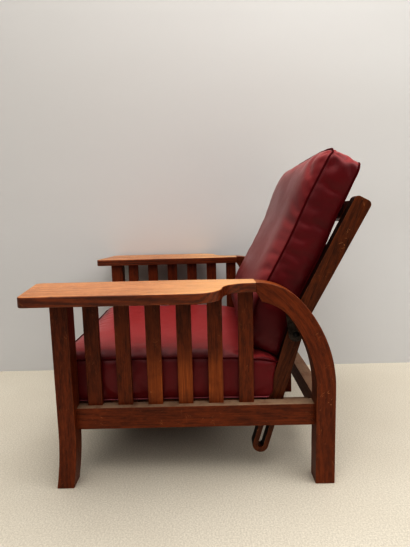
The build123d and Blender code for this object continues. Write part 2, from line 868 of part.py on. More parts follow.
def build():
    """Every piece by name, before the chair is centred on its origin."""
    pieces = {}
    paired = {
        "arm_board": arm_board(),
        "rear_arch": rear_arch(),
        "front_post": front_post(),
        "side_rail": side_rail(),
        "seat_bearer": seat_bearer(),
        "pivot_bracket": pivot_bracket(),
        "pivot_bolt": pivot_bolt(),
        "back_stile": back_stile(),
        "seat_side": seat_side(),
    }
    for index in range(slat_count):
        paired["arm_slat_%d" % (index + 1)] = arm_slat(index)
    for name, piece in paired.items():
        pieces[name + "_left"] = piece
        pieces[name + "_right"] = other_side(piece)
    grouped = {
        "arm_dowels": arm_dowels(),
        "bracket_screws": bracket_screws(),
        "pivot_spacers": pivot_spacer(),
        "pivot_washers": pivot_washer(),
        "pivot_nuts": pivot_nut(),
        "bearer_stops": bearer_stop(),
        "travel_stops": travel_stop(),
        "rod_collars": rod_collar(),
        "stop_rail_screws": stop_rail_screws(),
    }
    for name, piece in grouped.items():
        pieces[name] = both_sides(piece)
    pieces["front_rail"] = front_rail()
    pieces["rear_rail"] = rear_rail()
    for index, name in enumerate(("back_top_rail", "back_middle_rail", "back_bottom_rail")):
        pieces[name] = back_rail(index)
    for index in range(seat_slat_count):
        pieces["seat_slat_%d" % (index + 1)] = seat_slat(index)
    pieces["seat_front_rail"] = seat_front_rail()
    pieces["seat_crossbar"] = seat_crossbar()
    pieces["cushion_stop_rail"] = cushion_stop_rail()
    pieces["slot_rod"] = slot_rod()
    pieces["seat_cushion"] = seat_cushion()
    pieces["back_cushion"] = back_cushion()
    return pieces


pieces = build()
solids = {name: piece.solids() for name, piece in pieces.items()}
boxes = [solid.bounding_box() for group in solids.values() for solid in group]
centre_y = (min(box.min.Y for box in boxes) + max(box.max.Y for box in boxes)) / 2
os.makedirs("parts", exist_ok=True)
for name, group in solids.items():
    placed = [Pos(0, -centre_y, 0) * solid for solid in group]
    whole = placed[0] if len(placed) == 1 else Compound(children=placed)
    export_step(whole, "parts/%s.step" % name)
print("centre_y", centre_y)
print("pivot", pivot_y - centre_y, pivot_z)
print("seat travel", seat_travel)
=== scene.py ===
import math

import bmesh
import bpy
from mathutils import Matrix, Vector


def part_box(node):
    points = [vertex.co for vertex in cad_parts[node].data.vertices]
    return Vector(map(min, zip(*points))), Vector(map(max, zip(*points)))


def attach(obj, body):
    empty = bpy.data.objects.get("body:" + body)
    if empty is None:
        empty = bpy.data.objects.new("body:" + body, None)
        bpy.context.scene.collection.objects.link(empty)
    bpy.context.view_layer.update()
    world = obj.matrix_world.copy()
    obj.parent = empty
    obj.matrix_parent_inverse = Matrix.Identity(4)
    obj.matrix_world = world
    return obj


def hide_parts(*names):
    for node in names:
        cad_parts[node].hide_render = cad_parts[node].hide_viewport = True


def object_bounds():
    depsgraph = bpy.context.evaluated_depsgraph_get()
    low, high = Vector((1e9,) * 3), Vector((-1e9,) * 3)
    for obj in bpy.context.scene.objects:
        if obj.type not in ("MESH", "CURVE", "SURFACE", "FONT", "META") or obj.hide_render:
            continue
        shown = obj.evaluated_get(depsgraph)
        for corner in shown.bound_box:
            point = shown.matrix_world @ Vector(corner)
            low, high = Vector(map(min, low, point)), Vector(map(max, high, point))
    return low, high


# A mission armchair that reclines: oak frame, two boxed leather cushions, steel pivots.
# Lengths are metres in the frame of the CAD parts: Z up, the chair faces -Y.

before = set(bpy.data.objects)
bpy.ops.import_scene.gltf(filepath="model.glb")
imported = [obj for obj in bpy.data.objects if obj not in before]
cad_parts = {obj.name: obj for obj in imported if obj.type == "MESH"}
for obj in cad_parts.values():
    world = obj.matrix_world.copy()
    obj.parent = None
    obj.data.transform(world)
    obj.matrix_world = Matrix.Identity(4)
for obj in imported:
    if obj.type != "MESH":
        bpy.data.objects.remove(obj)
cad_low, cad_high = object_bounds()

# How the cushions' covers are filled
SETTLING_FRAMES = 20
FILLING_PRESSURE = 4.0
COVER_SLACK = -0.02
MOST_SWELL = 0.026
COVER_CELL = 0.010

# Tucks that run out from the sewn corners
TUCK_REACH = 0.07
TUCK_START = 0.012
TUCK_DEPTH = 0.0022
TUCK_FOLDS = 7
TUCK_FADING = 1.5

# Places along Y are counted from the back of the rear legs
REAR_LEG_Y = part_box("rear_arch_left")[1].y

# Camera, as worked out from the slats, rails and arm edges
EYE = Vector((1.316167, REAR_LEG_Y - 0.302255, 0.663421))
EYE_YAW = 0.0076265
EYE_PITCH = -0.1333866
EYE_ROLL = -0.0247401
FOCAL_PIXELS = 418.665
PICTURE_HEIGHT = 547
FILM_LONG_SIDE = 36.0

# Back stiles, which the back cushion leans on
KNEE = Vector((0.0, REAR_LEG_Y - 0.077, 0.402800))
UPPER_TILT = math.radians(27.5)
LOWER_TILT = math.radians(16.6)
STILE_HALF = 0.0205
STILE_INNER_X = 0.26095
STILE_OUTER_X = 0.29095


# ---------------------------------------------------------------- small helpers


def smooth_step(low, high, value):
    """0 below low, 1 above high, eased between."""
    share = min(max((value - low) / (high - low), 0.0), 1.0)
    return share * share * (3 - 2 * share)


def between(stops, share):
    """Reads an eased curve given as (share, value) stops."""
    for (a, start), (b, end) in zip(stops, stops[1:]):
        if share <= b:
            return start + (end - start) * smooth_step(a, b, share)
    return stops[-1][1]


def swell(share, power):
    """1 in the middle, 0 at the edges; a higher power stays up nearer to them."""
    return 1 - share**power


def new_object(name, mesh):
    piece = bpy.data.objects.new(name, mesh)
    bpy.context.scene.collection.objects.link(piece)
    return piece


# ---------------------------------------------------------------- shader helpers


def put(tree, kind, feeds=None, **settings):
    """Adds a node; feeds maps its inputs to values or to other nodes' outputs."""
    node = tree.nodes.new(kind)
    for name, value in settings.items():
        setattr(node, name, value)
    for key, value in (feeds or {}).items():
        if isinstance(value, bpy.types.NodeSocket):
            tree.links.new(value, node.inputs[key])
        else:
            node.inputs[key].default_value = value
    return node


def sum_of(tree, operation, first, second=0.0, third=0.0):
    """The outcome of one sum, such as MULTIPLY, on two values or three."""
    feeds = {0: first, 1: second}
    if operation == "MULTIPLY_ADD":
        feeds[2] = third
    return put(tree, "ShaderNodeMath", feeds, operation=operation).outputs[0]


def fade(tree, value, low, high, start=0.0, end=1.0):
    """Eases a value from start to end as it goes from low to high."""
    feeds = {"Value": value, "From Min": low, "From Max": high, "To Min": start, "To Max": end}
    return put(tree, "ShaderNodeMapRange", feeds, interpolation_type="SMOOTHSTEP").outputs[0]


def blend_colours(tree, share, under, over, way="MIX"):
    node = tree.nodes.new("ShaderNodeMix")
    node.data_type = "RGBA"
    node.blend_type = way
    for key, value in ((0, share), (6, under), (7, over)):
        if isinstance(value, bpy.types.NodeSocket):
            tree.links.new(value, node.inputs[key])
        else:
            node.inputs[key].default_value = value
    return node.outputs[2]


def stretched(tree, place, across, depth, along):
    feeds = {0: place, 1: (across, depth, along)}
    return put(tree, "ShaderNodeVectorMath", feeds, operation="MULTIPLY").outputs[0]


def shifted(tree, place, by):
    return put(tree, "ShaderNodeVectorMath", {0: place, 1: by}, operation="ADD").outputs[0]


def facing(tree, axis):
    """How far a face looks along X, Y or Z, from -1 to 1."""
    normal = put(tree, "ShaderNodeNewGeometry").outputs["Normal"]
    return put(tree, "ShaderNodeSeparateXYZ", {0: normal}).outputs[axis]


def speckle(tree, place, scale, detail=2.0, roughness=0.5, distortion=0.0):
    feeds = {
        "Vector": place,
        "Scale": scale,
        "Detail": detail,
        "Roughness": roughness,
        "Distortion": distortion,
    }
    return put(tree, "ShaderNodeTexNoise", feeds).outputs["Fac"]


SOCKETS = {"vector": "NodeSocketVector", "colour": "NodeSocketColor", "value": "NodeSocketFloat"}


def start_group(name, takes, gives):
    """An effect with named inputs and outputs, to be placed in several materials."""
    tree = bpy.data.node_groups.new(name, "ShaderNodeTree")
    for label, kind in takes:
        tree.interface.new_socket(label, in_out="INPUT", socket_type=SOCKETS[kind])
    for label, kind in gives:
        tree.interface.new_socket(label, in_out="OUTPUT", socket_type=SOCKETS[kind])
    return tree, tree.nodes.new("NodeGroupInput").outputs, tree.nodes.new("NodeGroupOutput").inputs


def place_group(tree, group, feeds):
    return put(tree, "ShaderNodeGroup", feeds, node_tree=group).outputs


# ---------------------------------------------------------------- effects


# Oak's marks: how many to the metre, across, into and along the grain
FIBRE_PITCH = (520.0, 520.0, 9.0)
PATCH_PITCH = (14.0, 14.0, 3.6)
RAY_PITCH = (150.0, 150.0, 42.0)
PORE_PITCH = (1500.0, 1500.0, 60.0)

# How much of the dark wood each of them brings
FIBRE_SHARE = 0.36
PATCH_SHARE = 0.28
RAY_SHARE = 0.24

# Its growth rings: drawn out along the grain, and leaning a little off it
RING_STRETCH = (1.0, 1.0, 0.09)
RING_LEAN = 0.055
RING_WAVES = {
    "Scale": 34.0,
    "Distortion": 9.0,
    "Detail": 3.0,
    "Detail Scale": 0.45,
    "Detail Roughness": 0.6,
}


def make_oak_figure():
    """Growth rings, fibres and open pores; the grain runs along the vector's Z."""
    takes = [
        ("Place", "vector"),
        ("Light Wood", "colour"),
        ("Dark Wood", "colour"),
        ("Pore Colour", "colour"),
        ("Figure", "value"),
    ]
    tree, given, out = start_group(
        "oak figure", takes, [("Colour", "colour"), ("Height", "value"), ("Fibre", "value")]
    )
    place = given["Place"]
    across, deep, along = put(tree, "ShaderNodeSeparateXYZ", {0: place}).outputs
    leaning = sum_of(tree, "MULTIPLY_ADD", along, RING_LEAN, across)
    ring_place = put(tree, "ShaderNodeCombineXYZ", {0: leaning, 1: deep, 2: along}).outputs[0]
    rings = put(
        tree,
        "ShaderNodeTexWave",
        dict(RING_WAVES, Vector=stretched(tree, ring_place, *RING_STRETCH)),
        wave_type="RINGS",
        rings_direction="Z",
        wave_profile="SIN",
    ).outputs["Fac"]
    fibre = speckle(tree, stretched(tree, place, *FIBRE_PITCH), 1.0, 4.0, 0.62)
    patch = speckle(tree, stretched(tree, place, *PATCH_PITCH), 1.0, 3.0, 0.55)
    rays = speckle(tree, stretched(tree, place, *RAY_PITCH), 1.0, 2.0, 0.6)
    dashes = speckle(tree, stretched(tree, place, *PORE_PITCH), 1.0, 1.0, 0.4)
    pores = fade(tree, dashes, 0.60, 0.70)
    spring_wood = fade(tree, rings, 0.25, 1.0)
    pores = sum_of(tree, "MULTIPLY", pores, sum_of(tree, "MULTIPLY_ADD", spring_wood, 0.75, 0.25))
    tone = sum_of(tree, "MULTIPLY", spring_wood, given["Figure"])
    tone = sum_of(tree, "MULTIPLY_ADD", fade(tree, fibre, 0.3, 0.7), FIBRE_SHARE, tone)
    tone = sum_of(tree, "MULTIPLY_ADD", fade(tree, patch, 0.3, 0.72), PATCH_SHARE, tone)
    tone = sum_of(tree, "MULTIPLY_ADD", fade(tree, rays, 0.35, 0.65), RAY_SHARE, tone)
    colour = blend_colours(
        tree, fade(tree, tone, 0.05, 1.0), given["Light Wood"], given["Dark Wood"]
    )
    colour = blend_colours(tree, pores, colour, given["Pore Colour"])
    height = sum_of(tree, "MULTIPLY_ADD", pores, -1.0, sum_of(tree, "MULTIPLY", fibre, 0.5))
    tree.links.new(colour, out["Colour"])
    tree.links.new(height, out["Height"])
    tree.links.new(fibre, out["Fibre"])
    return tree


def make_edge_wear():
    """Bright where an edge turns, broken up along its length."""
    takes = [("Place", "vector"), ("Reach", "value"), ("Amount", "value")]
    tree, given, out = start_group("edge wear", takes, [("Mask", "value")])
    rounded = put(tree, "ShaderNodeBevel", {"Radius": given["Reach"]}, samples=4).outputs[0]
    flat = put(tree, "ShaderNodeNewGeometry").outputs["Normal"]
    turned = put(tree, "ShaderNodeVectorMath", {0: rounded, 1: flat}, operation="DOT_PRODUCT")
    edge = fade(tree, turned.outputs["Value"], 0.995, 0.90)
    breaks = speckle(tree, given["Place"], 55.0, 4.0, 0.7)
    mask = sum_of(tree, "MULTIPLY", edge, fade(tree, breaks, 0.42, 0.66))
    tree.links.new(sum_of(tree, "MULTIPLY", mask, given["Amount"]), out["Mask"])
    return tree


def make_settled_dust():
    """Lies on faces that look up, thicker in patches."""
    takes = [("Place", "vector"), ("Amount", "value")]
    tree, given, out = start_group("settled dust", takes, [("Mask", "value")])
    level = fade(tree, facing(tree, "Z"), 0.7, 0.97)
    patches = speckle(tree, given["Place"], 38.0, 5.0, 0.65)
    mask = sum_of(tree, "MULTIPLY", level, fade(tree, patches, 0.2, 0.6, 0.45))
    tree.links.new(sum_of(tree, "MULTIPLY", mask, given["Amount"]), out["Mask"])
    return tree


# Scratches are longest up a piece
SCRATCH_PITCH = (260.0, 75.0, 38.0)


def make_knocks():
    """Short pale scratches and dents from years of use."""
    takes = [("Place", "vector"), ("Amount", "value")]
    tree, given, out = start_group("knocks", takes, [("Mask", "value")])
    bent = shifted(tree, given["Place"], speckle(tree, given["Place"], 9.0, 2.0))
    lines = speckle(tree, stretched(tree, bent, *SCRATCH_PITCH), 1.0, 1.0, 0.3)
    rare = speckle(tree, given["Place"], 21.0, 1.0)
    mask = sum_of(tree, "MULTIPLY", fade(tree, lines, 0.70, 0.76), fade(tree, rare, 0.54, 0.62))
    tree.links.new(sum_of(tree, "MULTIPLY", mask, given["Amount"]), out["Mask"])
    return tree


def make_hide_grain():
    """Fine pebbled grain with slack creases, for leather."""
    takes = [("Place", "vector"), ("Pebble", "value"), ("Crease", "value")]
    gives = [("Height", "value"), ("Wear", "value")]
    tree, given, out = start_group("hide grain", takes, gives)
    pebbles = put(
        tree,
        "ShaderNodeTexVoronoi",
        {"Vector": given["Place"], "Scale": given["Pebble"], "Randomness": 1.0},
        feature="SMOOTH_F1",
    ).outputs["Distance"]
    bent = shifted(tree, given["Place"], speckle(tree, given["Place"], 12.0, 3.0, 0.5, 0.6))
    creases = put(
        tree,
        "ShaderNodeTexVoronoi",
        {"Vector": bent, "Scale": 26.0},
        feature="DISTANCE_TO_EDGE",
    ).outputs["Distance"]
    lines = fade(tree, creases, 0.0, 0.06)
    gentle = speckle(tree, given["Place"], 7.0, 2.0)
    height = sum_of(tree, "MULTIPLY_ADD", pebbles, 0.35, sum_of(tree, "MULTIPLY", gentle, 3.0))
    height = sum_of(
        tree, "MULTIPLY_ADD", sum_of(tree, "MULTIPLY", lines, given["Crease"]), 0.6, height
    )
    tree.links.new(height, out["Height"])
    wear = fade(tree, speckle(tree, given["Place"], 5.0, 4.0, 0.6), 0.35, 0.7)
    tree.links.new(wear, out["Wear"])
    return tree


OAK_FIGURE = make_oak_figure()
EDGE_WEAR = make_edge_wear()
SETTLED_DUST = make_settled_dust()
KNOCKS = make_knocks()
HIDE_GRAIN = make_hide_grain()


# ---------------------------------------------------------------- finishes


def start_finish(name):
    finish = bpy.data.materials.new(name)
    finish.use_nodes = True
    tree = finish.node_tree
    return finish, tree, tree.nodes["Principled BSDF"]


def piece_place(tree):
    return put(tree, "ShaderNodeTexCoord").outputs["Object"]


def swap_axes(tree, place, way):
    """Turns a place so that its Z runs along the board's grain."""
    if way == "stile":
        tilt = (UPPER_TILT + LOWER_TILT) / 2
        feeds = {"Vector": place, "Center": KNEE, "Angle": tilt}
        turn = put(tree, "ShaderNodeVectorRotate", feeds, rotation_type="X_AXIS")
        return turn.outputs[0]
    x, y, z = put(tree, "ShaderNodeSeparateXYZ", {0: place}).outputs
    if way == "arch":
        return bent_place(tree, x, y, z)
    order = {"upright": (x, y, z), "fore": (x, z, y), "cross": (z, y, x)}[way]
    return put(tree, "ShaderNodeCombineXYZ", dict(enumerate(order))).outputs[0]


ARCH_CENTRE_Y = REAR_LEG_Y - 0.367
ARCH_CENTRE_Z = 0.231418
ARCH_BEND_RADIUS = 0.34


def bent_place(tree, x, y, z):
    """Follows a bent timber: up the leg, then round the arch."""
    rear = sum_of(tree, "SUBTRACT", y, ARCH_CENTRE_Y)
    above = sum_of(tree, "MAXIMUM", sum_of(tree, "SUBTRACT", z, ARCH_CENTRE_Z), 0.0)
    squares = sum_of(tree, "MULTIPLY", rear, rear)
    radius = sum_of(tree, "SQRT", sum_of(tree, "MULTIPLY_ADD", above, above, squares))
    turn = sum_of(tree, "ARCTAN2", above, rear)
    low = sum_of(tree, "MINIMUM", z, ARCH_CENTRE_Z)
    along = sum_of(tree, "MULTIPLY_ADD", turn, ARCH_BEND_RADIUS, low)
    return put(tree, "ShaderNodeCombineXYZ", {0: x, 1: radius, 2: along}).outputs[0]


LOG_SPREAD = (0.31, 0.23, 5.3)
LOG_HEART_OFFSET = (0.05, 0.04, 0.0)


def cut_elsewhere(tree, place):
    """Gives every piece its own part of the tree."""
    chance = put(tree, "ShaderNodeObjectInfo").outputs["Random"]
    moved = shifted(tree, place, stretched(tree, chance, *LOG_SPREAD))
    return shifted(tree, moved, LOG_HEART_OFFSET)


OAK_LIGHT = (0.165, 0.036, 0.0075, 1)
OAK_DARK = (0.063, 0.0122, 0.0029, 1)
STILE_LIGHT = (0.120, 0.031, 0.0068, 1)
STILE_DARK = (0.036, 0.0080, 0.0022, 1)
OAK_PORE = (0.014, 0.0040, 0.0016, 1)
OAK_BARE = (0.42, 0.19, 0.075, 1)
DUST_COLOUR = (0.34, 0.245, 0.165, 1)
ARM_LIGHT = (0.64, 0.275, 0.090, 1)
ARM_DARK = (0.33, 0.110, 0.030, 1)
# Painted glare, paler towards the rear of the arm tops
ARM_GLARE = (0.86, 0.50, 0.21, 1)
ARM_REAR_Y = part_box("arm_board_left")[1].y
GLARE_START_Y = ARM_REAR_Y - 0.30
GLARE_END_Y = ARM_REAR_Y - 0.06
GOLDEN_TINT_LIGHT = (0.31, 0.090, 0.018, 1)
GOLDEN_TINT_DARK = (0.17, 0.041, 0.0085, 1)
# Colours of the painted shade on the stiles' front faces, beside the cushion
FRONT_SHADE_LIGHT = (0.016, 0.0055, 0.0030, 1)
FRONT_SHADE_DARK = (0.008, 0.0030, 0.0020, 1)
SLAT_TINT_Y = (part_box("arm_slat_4_left")[0].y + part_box("arm_slat_4_left")[1].y) / 2


def crown_tint(tree, place):
    """Lighter golden colour on the arch's crown, as far as it looks up."""
    return fade(tree, facing(tree, "Z"), 0.6, 0.97, 0.0, 0.9)


def lower_slat_tint(tree, place):
    """Lighter golden patches on the lower half of the slats in the middle."""
    x, y, z = put(tree, "ShaderNodeSeparateXYZ", {0: place}).outputs
    low = sum_of(tree, "MULTIPLY", fade(tree, z, 0.36, 0.27), fade(tree, z, 0.185, 0.24, 0.35))
    off_middle = sum_of(tree, "ABSOLUTE", sum_of(tree, "SUBTRACT", y, SLAT_TINT_Y))
    share = sum_of(tree, "MULTIPLY", low, fade(tree, off_middle, 0.16, 0.06))
    cloudy = fade(tree, speckle(tree, place, 24.0, 4.0, 0.6), 0.25, 0.6, 0.35)
    return sum_of(tree, "MULTIPLY", share, cloudy)


def shaded_front_face(tree, place):
    """The stiles' front faces, darkened beside the cushion as painted shade."""
    return fade(tree, facing(tree, "Y"), -0.45, -0.8, 0.0, 0.95)


def oak_finish(
    name,
    way,
    dust=0.0,
    wear=0.5,
    knocks=0.6,
    tint_and_shade=None,
    light=OAK_LIGHT,
    dark=OAK_DARK,
    tint_and_shade_light=GOLDEN_TINT_LIGHT,
    tint_and_shade_dark=GOLDEN_TINT_DARK,
):
    finish, tree, surface = start_finish(name)
    place = piece_place(tree)
    grain_place = cut_elsewhere(tree, swap_axes(tree, place, way))
    figure = place_group(
        tree,
        OAK_FIGURE,
        {
            "Place": grain_place,
            "Light Wood": light,
            "Dark Wood": dark,
            "Pore Colour": OAK_PORE,
            "Figure": 0.12,
        },
    )
    colour = figure["Colour"]
    # A masked second colour: a lighter golden tint on the slats and the arch, painted shade on the
    # stiles' fronts
    if tint_and_shade:
        streaks = fade(tree, figure["Fibre"], 0.3, 0.7)
        shade = blend_colours(tree, streaks, tint_and_shade_light, tint_and_shade_dark)
        colour = blend_colours(tree, tint_and_shade(tree, place), colour, shade)
    worn = place_group(tree, EDGE_WEAR, {"Place": place, "Reach": 0.0022, "Amount": wear})["Mask"]
    dented = place_group(tree, KNOCKS, {"Place": place, "Amount": knocks})["Mask"]
    colour = blend_colours(tree, worn, colour, OAK_BARE)
    colour = blend_colours(tree, dented, colour, OAK_BARE)
    shine = fade(tree, figure["Fibre"], 0.3, 0.7, 0.36, 0.50)
    if dust:
        lying = place_group(tree, SETTLED_DUST, {"Place": place, "Amount": dust})["Mask"]
        colour = blend_colours(tree, lying, colour, DUST_COLOUR)
        shine = sum_of(tree, "MULTIPLY_ADD", lying, 0.4, shine)
    tree.links.new(colour, surface.inputs["Base Color"])
    tree.links.new(shine, surface.inputs["Roughness"])
    relief = put(
        tree,
        "ShaderNodeBump",
        {"Height": figure["Height"], "Strength": 0.32, "Distance": 0.0006},
    )
    tree.links.new(relief.outputs[0], surface.inputs["Normal"])
    surface.inputs["Specular IOR Level"].default_value = 0.22
    surface.inputs["Coat Weight"].default_value = 0.08
    surface.inputs["Coat Roughness"].default_value = 0.25
    return finish


def arm_finish():
    """Hands have polished the top down to the golden wood, lightened further by painted top light
    and a painted glare towards the rear; the edges keep the stain.
    """
    finish, tree, surface = start_finish("worn_oak_arm")
    place = piece_place(tree)
    grain_place = cut_elsewhere(tree, swap_axes(tree, place, "fore"))
    takes = {"Place": grain_place, "Pore Colour": OAK_PORE, "Figure": 0.35}
    stained = place_group(
        tree, OAK_FIGURE, dict(takes, **{"Light Wood": OAK_LIGHT, "Dark Wood": OAK_DARK})
    )
    rubbed = place_group(
        tree, OAK_FIGURE, dict(takes, **{"Light Wood": ARM_LIGHT, "Dark Wood": ARM_DARK})
    )
    smudges = fade(tree, speckle(tree, place, 14.0, 4.0, 0.6), 0.1, 0.5, 0.78)
    # The golden up-facing top: partly polished wood, partly painted top light
    top = sum_of(tree, "MULTIPLY", fade(tree, facing(tree, "Z"), 0.5, 0.95), smudges)
    behind = put(tree, "ShaderNodeSeparateXYZ", {0: place}).outputs[1]
    # Painted glare: the top grows paler towards its rear
    glare = fade(tree, behind, GLARE_START_Y, GLARE_END_Y, 0.0, 0.45)
    polished_and_lit = blend_colours(tree, glare, rubbed["Colour"], ARM_GLARE)
    colour = blend_colours(tree, top, stained["Colour"], polished_and_lit)
    worn = place_group(tree, EDGE_WEAR, {"Place": place, "Reach": 0.003, "Amount": 0.6})["Mask"]
    dented = place_group(tree, KNOCKS, {"Place": place, "Amount": 0.5})["Mask"]
    colour = blend_colours(tree, worn, colour, OAK_BARE)
    colour = blend_colours(tree, dented, colour, OAK_BARE)
    tree.links.new(colour, surface.inputs["Base Color"])
    shine = fade(tree, rubbed["Fibre"], 0.3, 0.7, 0.30, 0.42)
    tree.links.new(shine, surface.inputs["Roughness"])
    relief = put(
        tree,
        "ShaderNodeBump",
        {"Height": rubbed["Height"], "Strength": 0.3, "Distance": 0.0006},
    )
    tree.links.new(relief.outputs[0], surface.inputs["Normal"])
    surface.inputs["Specular IOR Level"].default_value = 0.35
    surface.inputs["Coat Weight"].default_value = 0.2
    surface.inputs["Coat Roughness"].default_value = 0.22
    return finish


LEATHER_RED = (0.108, 0.0034, 0.0070, 1)
LEATHER_DEEP = (0.080, 0.0026, 0.0054, 1)
LEATHER_RUBBED = (0.155, 0.0085, 0.0115, 1)
# Paler leather on up-facing faces: partly sun-faded, partly painted top light and sheen
LEATHER_FADED_AND_LIT = (0.320, 0.044, 0.046, 1)
SEAT_RED = (0.138, 0.0062, 0.0100, 1)
SEAT_DEEP = (0.104, 0.0042, 0.0072, 1)
WELT_RED = (0.066, 0.0010, 0.0032, 1)
# Painted highlight: a paler colour along the seat's under welt
WELT_HIGHLIGHT = (0.27, 0.070, 0.085, 1)


def leather_finish(
    name, fresh, deep, rubbed, faded_and_lit, roughness, crease, sun_and_light_span=(0.9, 1.0), gloss=0.33
):
    finish, tree, surface = start_finish(name)
    place = piece_place(tree)
    hide = place_group(tree, HIDE_GRAIN, {"Place": place, "Pebble": 750.0, "Crease": crease})
    clouds = speckle(tree, place, 9.0, 5.0, 0.6)
    colour = blend_colours(tree, fade(tree, clouds, 0.3, 0.7), fresh, deep)
    colour = blend_colours(tree, sum_of(tree, "MULTIPLY", hide["Wear"], 0.35), colour, rubbed)
    # Up-facing leather turns paler: partly sun-faded, partly painted top light and painted sheen
    sunned_and_lit = fade(tree, facing(tree, "Z"), *sun_and_light_span, 0.0, 0.9)
    colour = blend_colours(tree, sunned_and_lit, colour, faded_and_lit)
    tree.links.new(colour, surface.inputs["Base Color"])
    shine = fade(tree, hide["Wear"], 0.0, 1.0, roughness + 0.05, roughness - 0.05)
    tree.links.new(shine, surface.inputs["Roughness"])
    relief = put(
        tree, "ShaderNodeBump", {"Height": hide["Height"], "Strength": 0.22, "Distance": 0.0012}
    )
    tree.links.new(relief.outputs[0], surface.inputs["Normal"])
    surface.inputs["Specular IOR Level"].default_value = gloss
    surface.inputs["Sheen Weight"].default_value = 0.02
    surface.inputs["Sheen Roughness"].default_value = 0.4
    return finish


def metal_finish(name, clean, grimy, roughness, metallic):
    finish, tree, surface = start_finish(name)
    place = piece_place(tree)
    stains = fade(tree, speckle(tree, place, 90.0, 5.0, 0.65), 0.35, 0.65)
    worn = place_group(tree, EDGE_WEAR, {"Place": place, "Reach": 0.0008, "Amount": 0.6})["Mask"]
    colour = blend_colours(tree, stains, clean, grimy)
    colour = blend_colours(tree, worn, colour, clean)
    tree.links.new(colour, surface.inputs["Base Color"])
    shine = fade(tree, stains, 0, 1, roughness, roughness + 0.2)
    tree.links.new(shine, surface.inputs["Roughness"])
    relief = put(tree, "ShaderNodeBump", {"Height": stains, "Strength": 0.2, "Distance": 0.0003})
    tree.links.new(relief.outputs[0], surface.inputs["Normal"])
    surface.inputs["Metallic"].default_value = metallic
    return finish


FINISHES = {
    "oak_upright": oak_finish("dark_oak_upright", "upright"),
    "oak_slat": oak_finish("dark_oak_slat", "upright", tint_and_shade=lower_slat_tint),
    "oak_fore": oak_finish("dark_oak_fore", "fore", dust=0.85),
    "oak_cross": oak_finish("dark_oak_cross", "cross", dust=0.6),
    # The stiles' front faces carry painted shade beside the cushion
    "oak_stile": oak_finish(
        "dark_oak_stile",
        "stile",
        tint_and_shade=shaded_front_face,
        light=STILE_LIGHT,
        dark=STILE_DARK,
        tint_and_shade_light=FRONT_SHADE_LIGHT,
        tint_and_shade_dark=FRONT_SHADE_DARK,
    ),
    "oak_arch": oak_finish("dark_oak_bent", "arch", wear=0.8, knocks=0.9, tint_and_shade=crown_tint),
    "oak_deck": oak_finish("raw_oak_deck", "cross", dust=0.3, wear=0.2),
    "arm": arm_finish(),
    # The pivot plate is aged steel, darkened further as painted shade from the arch above it
    "steel_aged_and_shaded": metal_finish(
        "aged_and_shaded_steel_plate", (0.075, 0.058, 0.047, 1), (0.022, 0.014, 0.010, 1), 0.55, 0.55
    ),
    "iron": metal_finish(
        "black_iron", (0.028, 0.025, 0.024, 1), (0.010, 0.008, 0.008, 1), 0.5, 0.6
    ),
    "steel_bright": metal_finish(
        "plain_steel", (0.42, 0.40, 0.38, 1), (0.22, 0.17, 0.13, 1), 0.3, 1.0
    ),
}
# On the back the paler leather reaches down the sloping front panel as a painted sheen; on the
# seat it keeps to the top, so the rolled edge keeps the darker red as painted shade
BACK_LEATHER = leather_finish(
    "red_leather_back",
    LEATHER_RED,
    LEATHER_DEEP,
    LEATHER_RUBBED,
    LEATHER_FADED_AND_LIT,
    0.35,
    0.4,
    (0.05, 0.92),
)
SEAT_LEATHER = leather_finish(
    "red_leather_seat",
    SEAT_RED,
    SEAT_DEEP,
    LEATHER_RUBBED,
    LEATHER_FADED_AND_LIT,
    0.35,
    0.4,
    (0.80, 0.97),
)
WELTING = leather_finish(
    "red_leather_welting", WELT_RED, WELT_RED, WELT_RED, WELT_RED, 0.55, 0.2, gloss=0.08
)
# The under welt's paler colour is a painted highlight
HIGHLIT_WELTING = leather_finish(
    "red_leather_highlit_welting", WELT_HIGHLIGHT, WELT_HIGHLIGHT, WELT_HIGHLIGHT, WELT_HIGHLIGHT, 0.40, 0.2
)

NODE_FINISHES = [
    ("arm_board", "arm"),
    ("arm_dowels", "oak_fore"),
    ("arm_slat", "oak_slat"),
    ("front_post", "oak_upright"),
    ("rear_arch", "oak_arch"),
    ("side_rail", "oak_fore"),
    ("front_rail", "oak_cross"),
    ("rear_rail", "oak_cross"),
    ("seat_bearer", "oak_fore"),
    ("bearer_stops", "oak_fore"),
    ("travel_stops", "oak_fore"),
    ("back_stile", "oak_stile"),
    ("back_top_rail", "oak_cross"),
    ("back_middle_rail", "oak_cross"),
    ("back_bottom_rail", "oak_cross"),
    ("seat_side", "oak_fore"),
    ("seat_front_rail", "oak_cross"),
    ("seat_crossbar", "oak_cross"),
    ("seat_slat", "oak_deck"),
    ("cushion_stop_rail", "oak_cross"),
    ("pivot_bracket", "steel_aged_and_shaded"),
    ("pivot_", "iron"),
    ("bracket_screws", "steel_bright"),
    ("stop_rail_screws", "steel_bright"),
    ("slot_rod", "steel_bright"),
    ("rod_collars", "iron"),
]


def finish_nodes():
    for name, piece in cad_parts.items():
        for start, finish in NODE_FINISHES:
            if name.startswith(start):
                piece.data.materials.clear()
                piece.data.materials.append(FINISHES[finish])
                break


# ---------------------------------------------------------------- cushions


def box_net(counts):
    """The skin of a box of counts cells: its lattice points and quads, facing out."""
    index = {}
    quads = []

    def corner(*spot):
        return index.setdefault(spot, len(index))

    for axis in range(3):
        a, b = (axis + 1) % 3, (axis + 2) % 3
        for side in (0, counts[axis]):
            for i in range(counts[a]):
                for j in range(counts[b]):
                    ring = []
                    for da, db in ((0, 0), (1, 0), (1, 1), (0, 1)):
                        spot = [0, 0, 0]
                        spot[axis], spot[a], spot[b] = side, i + da, j + db
                        ring.append(corner(*spot))
                    quads.append(ring if side else ring[::-1])
    return list(index), quads


